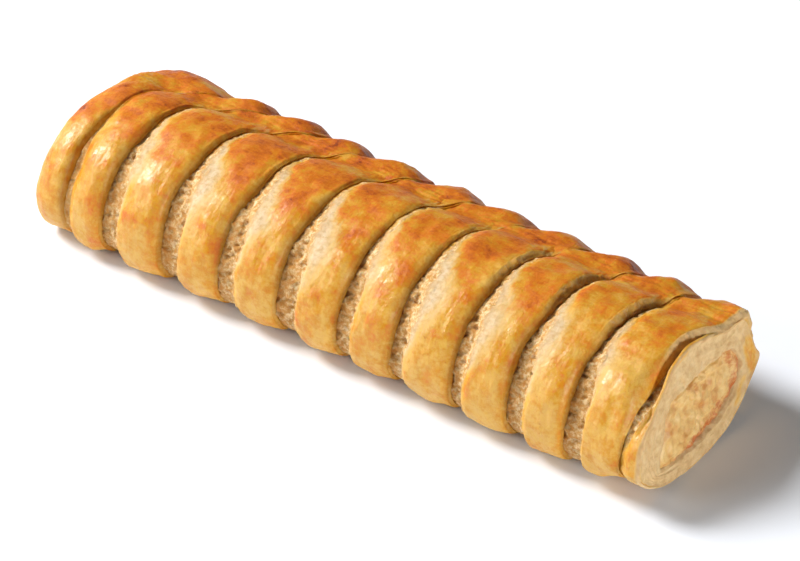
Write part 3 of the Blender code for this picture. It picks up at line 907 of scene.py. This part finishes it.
class CoreRows:
    """Rows of points round the core: over the outside from far to near, then back through the tunnel.

    Each row is (points[share, 3], along, paint): along is how far it has come along the surface, and
    paint holds its glaze, bake, crumb and cut values.
    """

    def __init__(self, share):
        self.share, self.rows = share, []
        self.zero, self.one = np.zeros_like(share), np.ones_like(share)
        self.scored = plateau(*SCORED, share)
        self.lower = rise(*LOWER_BACK, share) + fall(*LOWER_FRONT, share)
        self.lip = eased(LIP_DROP, share) * MM
        self.rim_x = np.full_like(share, ROLL_LENGTH / 2.0)
        for _ in range(RIM_ROUNDS):
            rim = roll_point(self.rim_x, share, -self.lip)
            self.rim_x = near_cut_x(rim[:, 1], rim[:, 2])
        self.far_band()
        for groove in range(FIRST_GROOVE, LAST_GROOVE + 1):
            self.groove(groove)
        self.last_slice()
        self.near_face()
        self.tunnel_and_far_face()

    def add(self, points, along, glaze, bake_and_shade, crumb, cut):
        self.rows.append((points, along, (glaze, bake_and_shade, crumb, cut)))

    def outside(self, x, height, band, across, crumb, glaze=1.0, cut=0.0):
        """Adds a row of the outer skin, at a height above the crest outline."""
        share, scored, lower = self.share, self.scored, self.lower
        crumb = crumb * scored * (1.0 - bump(*SADDLE_SHARES, share))
        glaze = blend(glaze * (1.0 - crumb), 1.0, 1.0 - scored) * (1.0 - 0.55 * lower)
        glaze = glaze * (1.0 - lower * rise(self.rim_x - 3.0 * MM, self.rim_x, x))
        bake_and_shade = blend(0.34 + 0.10 * lower, browning_and_edge_light(band, x, share, across), scored)
        # Creases low in the grooves take a paler bake level, painted light against their shade; open crumb
        # takes its painted shade.
        creased = fall(-1.2 * MM, -0.5 * MM, height) * scored * (1.0 - crumb)
        bake_and_shade = blend(bake_and_shade, CREASE_PAINTED_LIGHT, creased * (1.0 - 0.6 * rise(0.55, 0.62, share)))
        bake_and_shade = blend(bake_and_shade, crumb_shade(band, share, across), crumb)
        height = height + skin_relief(x, share, glaze, crumb)
        self.add(roll_point(x, share, height), x, glaze, bake_and_shade, crumb, cut + self.zero)

    def far_band(self):
        """From the far cut to the right edge of the band there."""
        share = self.share
        rim = [np.stack([FAR_CUT + along * MM + self.zero, height * MM + self.zero])
               for along, height in FAR_EDGE]
        right_side = band_section(0, share)[SHOULDER_POINT:FOOT_POINT + 1]
        middle = np.stack([0.5 * (right_side[0][0] + FAR_CUT), BAND_LIFTS[0] * self.scored])
        left, right = groove_x(0, share), groove_x(1, share)
        curve = through_points(np.stack([*rim, middle, *right_side]), FAR_BAND_STEPS, closed=False)
        for x, height in curve:
            self.outside(x, height, 0, (x - left) / (right - left), self.zero)

    def groove(self, groove):
        """The floor of a groove, and the hidden dough under the band after it."""
        share = self.share
        depth, floor = groove_depth(groove, share), band_shares(groove, share)[0]
        line, next_line = groove_x(groove, share), groove_x(groove + 1, share)
        width = next_line - line
        start = line - FLOOR_UNDERCUT * (line - groove_x(groove - 1, share))
        end = line + width * (floor + 0.05)
        crumb = 1.0 - 0.75 * rise(*CRUMB_OVER_TOP, share)
        if groove == FIRST_GROOVE:
            start = self.rows[-1][1] + 0.1 * MM
            crumb = 0.6 * fall(0.40, 0.46, share)
        if groove == LAST_GROOVE:
            end = np.minimum(line + eased(LAST_FLOOR_WIDTH, share) * MM, self.rim_x - LAST_SLICE)
            start = np.minimum(start, end - 0.4 * MM)
            crumb = rise(0.25, 0.31, share)
        for part in np.linspace(0.0, 1.0, FLOOR_ROWS):
            x = blend(start, end, part)
            hollow = FLOOR_HOLLOW * math.sin(math.pi * part)
            self.outside(x, -depth - hollow, groove, (x - line) / width, crumb)
        if groove < LAST_GROOVE:
            for part in np.linspace(0.0, 1.0, HIDDEN_ROWS + 2)[1:-1]:
                x = blend(end, next_line - FLOOR_UNDERCUT * width, part)
                self.outside(x, -depth - HIDDEN_DEPTH, groove, self.zero, self.one)

    def last_slice(self):
        """The thin slice beyond the last groove, up to its rim at the near cut."""
        start, low = self.rows[-1][1], -groove_depth(LAST_GROOVE, self.share)
        end, top = self.rim_x, -self.lip
        points = [np.stack([blend(start, end, along), blend(low, top, up)]) for along, up in SLICE_CURVE]
        points.append(np.stack([end - SLICE_ROUNDING, top - SLICE_ROUNDING]))
        points.append(np.stack([end, top - SLICE_EDGE]))
        bare = rise(0.28, 0.35, self.share) * (1.0 - 0.8 * bump(0.43, 0.47, 0.55, self.share))
        for x, height in through_points(np.stack(points), SLICE_STEPS, closed=False)[1:]:
            part = (x - start) / (end - start)
            cut = rise(0.72, 0.95, part)
            glaze = (1.0 - 0.22 * bare) * (1.0 - cut)
            self.outside(x, height, BANDS - 1, 0.4 + 0.4 * part, self.zero, glaze, cut)

    def near_face(self):
        """The near cut, from its rim to the tunnel."""
        share, rim = self.share, self.rows[-1][0][:, 1:]
        tunnel = filling_edge(share, self.rim_x, NEAR_CLEARANCE)
        bottom = rise(0.80, 0.90, share) + fall(0.10, 0.17, share)
        waves = noise(np.column_stack([share * TUNNEL_WAVES, self.zero, self.zero]), (1.0,))
        outwards = (tunnel - np.array(FILLING_CENTRE)) / TUNNEL_RADIUS
        self.tunnel = tunnel + TUNNEL_WANDER * waves[:, None] * outwards
        for row in range(1, NEAR_FACE_ROWS + 1):
            inward = row / NEAR_FACE_ROWS
            yz = blend(rim, self.tunnel, inward)
            back = (0.45 - 0.40 * bottom) * rise(0.0, 0.16, inward)
            back = back + (0.15 + 0.5 * bottom) * rise(0.86, 1.0, inward)
            cut_x = near_cut_x(yz[:, 0], yz[:, 1])
            x = np.minimum(cut_x, cut_x - back * MM + face_relief(share, inward, NEAR_FACE_LAYER))
            ragged = 0.5 * layered_noise(np.column_stack([yz / MM, self.zero]), (1.6, 1.6), 2)
            golden = 0.8 * fall(-0.9, 0.9, to_patches(yz) / MM + ragged)
            tip = fall(0.04, 0.14, inward) * bump(0.40, 0.455, 0.51, share)
            front = fall(0.02, 0.12, inward) * bump(0.12, 0.20, 0.30, share)
            washed = np.maximum(golden, front + tip)
            along = self.rim_x + np.linalg.norm(yz - rim, axis=1)
            self.add(np.column_stack([x, yz]), along,
                     washed, (0.42 - 0.34 * tip) * washed, self.zero, 1.0 - washed)

    def tunnel_and_far_face(self):
        """Through the tunnel, and over the far cut out to its rim."""
        far_tunnel = filling_edge(self.share, FAR_CUT + self.zero, FAR_CLEARANCE)
        near_x = near_cut_x(self.tunnel[:, 0], self.tunnel[:, 1])
        for part in TUNNEL_PARTS:
            x, yz = blend(near_x, FAR_CUT, part), blend(self.tunnel, far_tunnel, part)
            self.add(np.column_stack([x, yz]), x, self.zero, self.zero, self.zero, self.one)
        rim = self.rows[0][0][:, 1:]
        for row in range(FAR_FACE_ROWS):
            outward = row / FAR_FACE_ROWS
            yz = blend(far_tunnel, rim, outward)
            back = 0.6 * fall(0.9, 1.0, outward) + 0.5 * fall(0.0, 0.14, outward)
            x = FAR_CUT + back * MM - face_relief(self.share, 1.0 - outward, FAR_FACE_LAYER)
            along = FAR_CUT - np.linalg.norm(yz - rim, axis=1)
            washed = rise(0.90, 0.99, outward) * self.one
            # The far cut's dough gets the full bake value, which darkens it: painted shade, as the key light
            # falls full on this face.
            self.add(np.column_stack([np.maximum(x, FAR_CUT), yz]), along,
                     washed, 1.0 - 0.5 * washed, self.zero, 1.0 - washed)


def make_core(look):
    around = core_shares()
    share = around % 1.0
    rows = CoreRows(share).rows
    rows.append(rows[0])
    points, along, paints = zip(*rows)
    deselect_all()
    bpy.ops.mesh.primitive_grid_add(
        x_subdivisions=len(share) - 1, y_subdivisions=len(rows) - 1, size=1.0, calc_uvs=True)
    core = name_piece("pastry_core")
    mesh = core.data
    move_vertices(mesh, np.concatenate(points))
    for name, values in zip(("glaze", "bake_and_shade", "crumb", "cut"), zip(*paints)):
        paint(mesh, name, np.concatenate(values))
    paint(mesh, "shine", np.tile(glossiness(share, 0.5), len(rows)))
    map_surface(mesh, np.concatenate(along), np.tile(around, len(rows)))
    face_outwards(join_within=SEAM_GAP)
    finish_piece(core, crust(look), PASTRY_NODE)


# ---- The bands and the filling ----


def make_band(band, look):
    """One bulging band between two grooves, closed all round, with its underside sunk in the core."""
    segments = sum(SECTION_STEPS)
    piece, ring, turn = add_ball(f"pastry_band_{band + 1:02d}", segments, BAND_RINGS)
    mesh = piece.data
    step = np.rint(turn / math.tau * segments).astype(int) % segments

    share = np.linspace(*BAND_SHARES, BAND_RINGS + 1)
    curve = through_points(band_section(band, share), SECTION_STEPS)     # [segment, 2, ring]
    x, height = curve[:, 0].T, curve[:, 1].T                 # [ring, segment]
    rings = np.arange(BAND_RINGS + 1.0)
    closing = rise(0.0, CLOSING_RINGS, np.minimum(rings, BAND_RINGS - rings))[:, None]
    x = blend(x.mean(axis=1, keepdims=True), x, closing)
    height = blend(height.min(axis=1, keepdims=True), height, closing) - sink_ends(share)[:, None]

    x, height, around = x[ring, step], height[ring, step], share[ring]
    waves = noise(np.column_stack([x / MM, np.full_like(x, 3.3 * band), 0.0 * x]), (3.1,))
    around = around + SEAM_WAVES * waves * rise(0.72, 0.755, around)
    left, right = groove_x(band, around), groove_x(band + 1, around)
    across = (x - left) / (right - left)
    move_vertices(mesh, roll_point(x, around, height))
    face_outwards()

    starts = np.cumsum((0,) + SECTION_STEPS)     # the mesh step at each point of the section
    wall_top, wall_full = starts[list(WALL_POINTS)]
    foot, underside = starts[FOOT_POINT], starts[UNDERSIDE_POINT]
    wall = plateau(wall_top, wall_full + 1, foot, underside, step)
    bare_wall = wall * crisp_edge(band, around)
    crumb = crumb_cover(band, x, around, across) * (step < starts[CREST_POINT] + 2)
    crumb = crumb * (band != CLOSED_BAND)
    glaze = wash_cover(band, x, around, across) * (1.0 - 0.35 * bare_wall)
    rough_wall = 0.30 * layered_noise(vertex_numbers(mesh.vertices, "co") / MM, (1.3, 1.3, 1.1), 2) * MM
    relief = skin_relief(x, around, glaze, crumb) * (1.0 - 0.6 * wall) + bare_wall * rough_wall
    relief = np.where(step > foot, 0.0, relief)[:, None]
    places = vertex_numbers(mesh.vertices, "co") + vertex_numbers(mesh.vertex_normals, "vector") * relief
    places[:, 2] = np.maximum(places[:, 2], 0.0)
    move_vertices(mesh, places)

    # The wall before the last groove lies open and is painted pale; the others are in shade, their darker
    # tone partly their brown crumb and partly painted shade. The crisp walls are painted darker towards their
    # foot: painted shade.
    wall_cut, wall_tone = (0.90, 0.04) if band == LAST_GROOVE - 1 else (0.12, 0.32)
    deep = rise(wall_full, foot, step)
    # Open crumb takes its painted shade, and the lower wall the creases' paler bake level, painted light
    # against its shade.
    shade = blend(browning_and_edge_light(band, x, around, across), crumb_shade(band, around, across), crumb)
    shade = blend(shade, CREASE_PAINTED_LIGHT, deep * (1.0 - crumb))
    paint(mesh, "glaze", glaze * (1.0 - crumb))
    paint(mesh, "bake_and_shade", blend(shade, wall_tone + 0.22 * deep, bare_wall))
    paint(mesh, "crumb", np.maximum(crumb, 0.32 * bare_wall))
    paint(mesh, "cut", bare_wall * wall_cut)
    paint(mesh, "shine", glossiness(around, across))
    map_surface(mesh, x, around)
    finish_piece(piece, crust(look), PASTRY_NODE)


def make_filling(look):
    """The chicken, with a lumpy face at each cut and browned juices low at the back of its rim; its far face
    is darkened more, as painted shade.
    """
    piece, ring, turn = add_ball("chicken_filling_meat", FILLING_SIDES, FILLING_RINGS)
    mesh = piece.data
    face_rings = FILLING_RINGS // 2 - FILLING_LENGTH_RINGS
    near, far = ring <= face_rings, ring >= FILLING_RINGS - face_rings
    reach = np.where(near, ring / face_rings, np.where(far, (FILLING_RINGS - ring) / face_rings, 1.0))
    reach = np.sin(reach * math.pi / 2.0) ** 0.8
    y, z = from_filling_centre(turn, filling_reach(turn) * reach).T
    places = np.column_stack([np.zeros_like(y), y / MM, z / MM])
    lumps = 0.40 * noise(places, (1.0, 3.0, 2.6)) + 0.34 * layered_noise(places, (1.0, 1.2), 3)
    push = (lumps - 0.5 * rise(0.90, 1.0, reach)) * MM - FILLING_SET_BACK
    near_x, far_x = near_cut_x(y, z) + push, FAR_CUT - push
    between = np.clip((ring - face_rings) / (FILLING_RINGS - 2 * face_rings), 0.0, 1.0)
    x = np.where(near, near_x, np.where(far, far_x, blend(near_x, far_x, between)))
    move_vertices(mesh, np.column_stack([x, y, z]))
    low_back = fall(-0.75, 0.55, np.sin(turn - 0.5))
    ragged = 0.16 * layered_noise(places, (1.0, 2.4, 2.0), 2)
    rim = rise(0.95 - 0.55 * low_back, 1.02, reach + ragged)
    # The far face gets a higher rim value, which darkens it like the juices: painted shade, as the key light
    # falls full on that face.
    paint(mesh, "rim", rim * (0.16 + low_back) + 0.22 * far)
    face_outwards()
    finish_piece(piece, filling_material(look), FILLING_NODE)


# ---- Settings, studio, operators and panel ----


def colour_setting(name, description, shown):
    return FloatVectorProperty(
        name=name, description=description, default=linear(*shown), size=4, subtype="COLOR", min=0.0, max=1.0)


def share_setting(name, description, default):
    return FloatProperty(
        name=name, description=description, default=default, min=0.0, max=1.0, subtype="FACTOR")


def power_setting(name, description, default):
    return FloatProperty(name=name, description=description, default=default, min=0.0, unit="POWER")


def size_setting(name, description, default):
    return FloatProperty(name=name, description=description, default=default, min=0.01, unit="LENGTH")


class PastryLook(bpy.types.PropertyGroup):
    straw: colour_setting("Straw", "Palest egg-washed crust, on the toes", (214, 167, 73))
    gold: colour_setting("Gold", "Golden crust on the lower front", (205, 143, 24))
    orange: colour_setting("Orange", "Well baked crust on the crests", (204, 110, 0))
    deep_brown: colour_setting("Deep brown", "Darkest patches of the crests and the back", (177, 82, 2))
    burnt: colour_setting("Burnt", "Small burnt spots", (134, 54, 3))
    cream: colour_setting("Cream", "Pale dough on the flanks of the bands", (206, 181, 143))
    # Cream shade is also the painted shade at the foot of the flanks.
    cream_shade: colour_setting("Cream shade", "Shaded streaks in the pale dough", (184, 149, 99))
    crumb: colour_setting("Crumb", "Open crumb on the groove floors", (199, 156, 92))
    # Deep crumb and crumb pits: painted shade in the crumb's hollows and pores; deep crumb also darkens the
    # far cut and the walls, as painted shade.
    crumb_deep: colour_setting("Deep crumb", "Hollows of the open crumb", (186, 126, 54))
    crumb_pit: colour_setting("Crumb pits", "Deepest pores of the open crumb", (192, 120, 40))
    crumb_light: colour_setting("Light crumb", "Edges of the open crumb's layers", (231, 205, 160))
    cut_dough: colour_setting("Cut dough", "Pale dough on the cut faces", (211, 176, 125))
    cut_shade: colour_setting("Cut dough shade", "Layers in the cut dough", (192, 152, 99))
    meat: colour_setting("Meat", "Chicken filling", (211, 166, 96))
    meat_light: colour_setting("Light meat", "Pale shreds of the filling", (222, 184, 120))
    meat_shade: colour_setting("Meat shade", "Hollows of the filling", (192, 130, 62))
    # The juice colour also carries the painted shade on the filling's far face.
    juice: colour_setting("Juice", "Browned juices at the filling's rim", (178, 84, 22))
    floor: colour_setting("Floor", "Studio floor", (242, 245, 251))
    glaze_roughness: share_setting("Glaze roughness", "Roughness of the egg-washed crust", 0.30)
    gloss: share_setting("Gloss", "Strength of the crust's reflections", 0.42)
    egg_coat: share_setting("Egg coat", "Strength of the sharp glints on the egg wash", 0.36)
    softness: share_setting("Softness", "How much light passes under the surface of dough and meat", 0.30)


class StudioSettings(bpy.types.PropertyGroup):
    key_power: power_setting("Key power", "Power of the large key light, high on the left", 34.5)
    key_size: size_setting("Key size", "Side of the square key light", 0.62)
    front_power: power_setting("Front power", "Power of the low light at the front left", 8.0)
    front_size: size_setting("Front size", "Side of the square front light", 0.70)
    fill_power: power_setting("Fill power", "Power of the low fill light on the right", 18.0)
    fill_size: size_setting("Fill size", "Side of the square fill light", 0.36)
    sky: share_setting("Surrounding light", "Strength of the white surroundings", 0.08)


LIGHT_DISTANCE = 1.5
KEY_DIRECTION = (-0.71, -0.17, 0.68)
FRONT_DIRECTION = (-0.55, -0.75, 0.41)
FILL_DIRECTION = (0.92, -0.16, 0.12)
COOL_WHITE = (0.94, 0.98, 1.0)
SKY_WHITE = (0.91, 0.965, 1.0)
FLOOR_SIZE = 6.0
CAMERA_PLACE = (0.36132, -0.46598, 0.42317)
CAMERA_AZIMUTH, CAMERA_ELEVATION = math.radians(37.63), math.radians(35.09)
CAMERA_LENS = 151.67
SENSOR_WIDTH = 36.0
CAMERA_CLIP = (0.01, 20.0)


def soft_light(name, direction, size, power, colour=(1.0, 1.0, 1.0)):
    aim = Vector(direction).normalized()
    bpy.ops.object.light_add(type="AREA", location=aim * LIGHT_DISTANCE)
    lamp = bpy.context.object
    lamp.name = name
    lamp.rotation_euler = aim.to_track_quat("Z", "Y").to_euler()
    lamp.data.shape = "SQUARE"
    lamp.data.size = size
    lamp.data.energy = power
    lamp.data.color = colour


def light_studio(scene):
    studio = scene.pastry_studio
    soft_light("key_light", KEY_DIRECTION, studio.key_size, studio.key_power)
    soft_light("front_light", FRONT_DIRECTION, studio.front_size, studio.front_power)
    soft_light("fill_light", FILL_DIRECTION, studio.fill_size, studio.fill_power, COOL_WHITE)
    scene.world = bpy.data.worlds.new("studio_surroundings")
    scene.world.use_nodes = True
    surroundings = scene.world.node_tree.nodes["Background"].inputs
    surroundings["Color"].default_value = (*SKY_WHITE, 1.0)
    surroundings["Strength"].default_value = studio.sky
    scene.view_settings.view_transform = "Standard"


def place_camera(scene):
    back = Vector((
        math.sin(CAMERA_AZIMUTH) * math.cos(CAMERA_ELEVATION),
        -math.cos(CAMERA_AZIMUTH) * math.cos(CAMERA_ELEVATION),
        math.sin(CAMERA_ELEVATION)))
    bpy.ops.object.camera_add(location=CAMERA_PLACE, rotation=(-back).to_track_quat("-Z", "Y").to_euler())
    camera = bpy.context.object
    camera.name = "photo_camera"
    camera.data.sensor_fit = "HORIZONTAL"
    camera.data.sensor_width = SENSOR_WIDTH
    camera.data.lens = CAMERA_LENS
    camera.data.clip_start, camera.data.clip_end = CAMERA_CLIP
    scene.camera = camera


class PASTRY_OT_stage(bpy.types.Operator):
    """Sets up the pale floor, the soft studio light and the camera"""
    bl_idname = "pastry.stage"
    bl_label = "Studio"

    def execute(self, context):
        deselect_all()
        bpy.ops.mesh.primitive_plane_add(size=FLOOR_SIZE, location=(0.0, 0.0, 0.0))
        floor = name_piece("studio_floor")
        floor.data.materials.append(floor_material(context.scene.pastry_look))
        light_studio(context.scene)
        place_camera(context.scene)
        return {"FINISHED"}


class PASTRY_OT_core(bpy.types.Operator):
    """Makes the dough under the bands, with the groove floors, the cut faces and the underside"""
    bl_idname = "pastry.core"
    bl_label = "Dough core"

    def execute(self, context):
        make_core(context.scene.pastry_look)
        return {"FINISHED"}


class PASTRY_OT_bands(bpy.types.Operator):
    """Makes the bulging bands between the scored grooves"""
    bl_idname = "pastry.bands"
    bl_label = "Scored bands"

    def execute(self, context):
        for band in range(CLOSED_BAND, BANDS - 1):
            make_band(band, context.scene.pastry_look)
        return {"FINISHED"}


class PASTRY_OT_filling(bpy.types.Operator):
    """Makes the chicken filling that shows at both cuts"""
    bl_idname = "pastry.filling"
    bl_label = "Chicken filling"

    def execute(self, context):
        make_filling(context.scene.pastry_look)
        return {"FINISHED"}


class PASTRY_PT_panel(bpy.types.Panel):
    """Steps that make the pastry roll"""
    bl_idname = "PASTRY_PT_panel"
    bl_label = "Chicken Pastry Roll"
    bl_space_type = "VIEW_3D"
    bl_region_type = "UI"
    bl_category = "Pastry Roll"

    def draw(self, context):
        for step in STEPS:
            self.layout.operator(step)


STEPS = ("pastry.stage", "pastry.core", "pastry.bands", "pastry.filling")
CLASSES = (PastryLook, StudioSettings, PASTRY_OT_stage, PASTRY_OT_core, PASTRY_OT_bands,
           PASTRY_OT_filling, PASTRY_PT_panel)


def register():
    for made in CLASSES:
        bpy.utils.register_class(made)
    bpy.types.Scene.pastry_look = PointerProperty(type=PastryLook)
    bpy.types.Scene.pastry_studio = PointerProperty(type=StudioSettings)


def unregister():
    del bpy.types.Scene.pastry_look
    del bpy.types.Scene.pastry_studio
    for made in reversed(CLASSES):
        bpy.utils.unregister_class(made)


def main():
    register()
    bpy.ops.pastry.stage()
    bpy.ops.pastry.core()
    bpy.ops.pastry.bands()
    bpy.ops.pastry.filling()


if __name__ == "__main__":
    main()
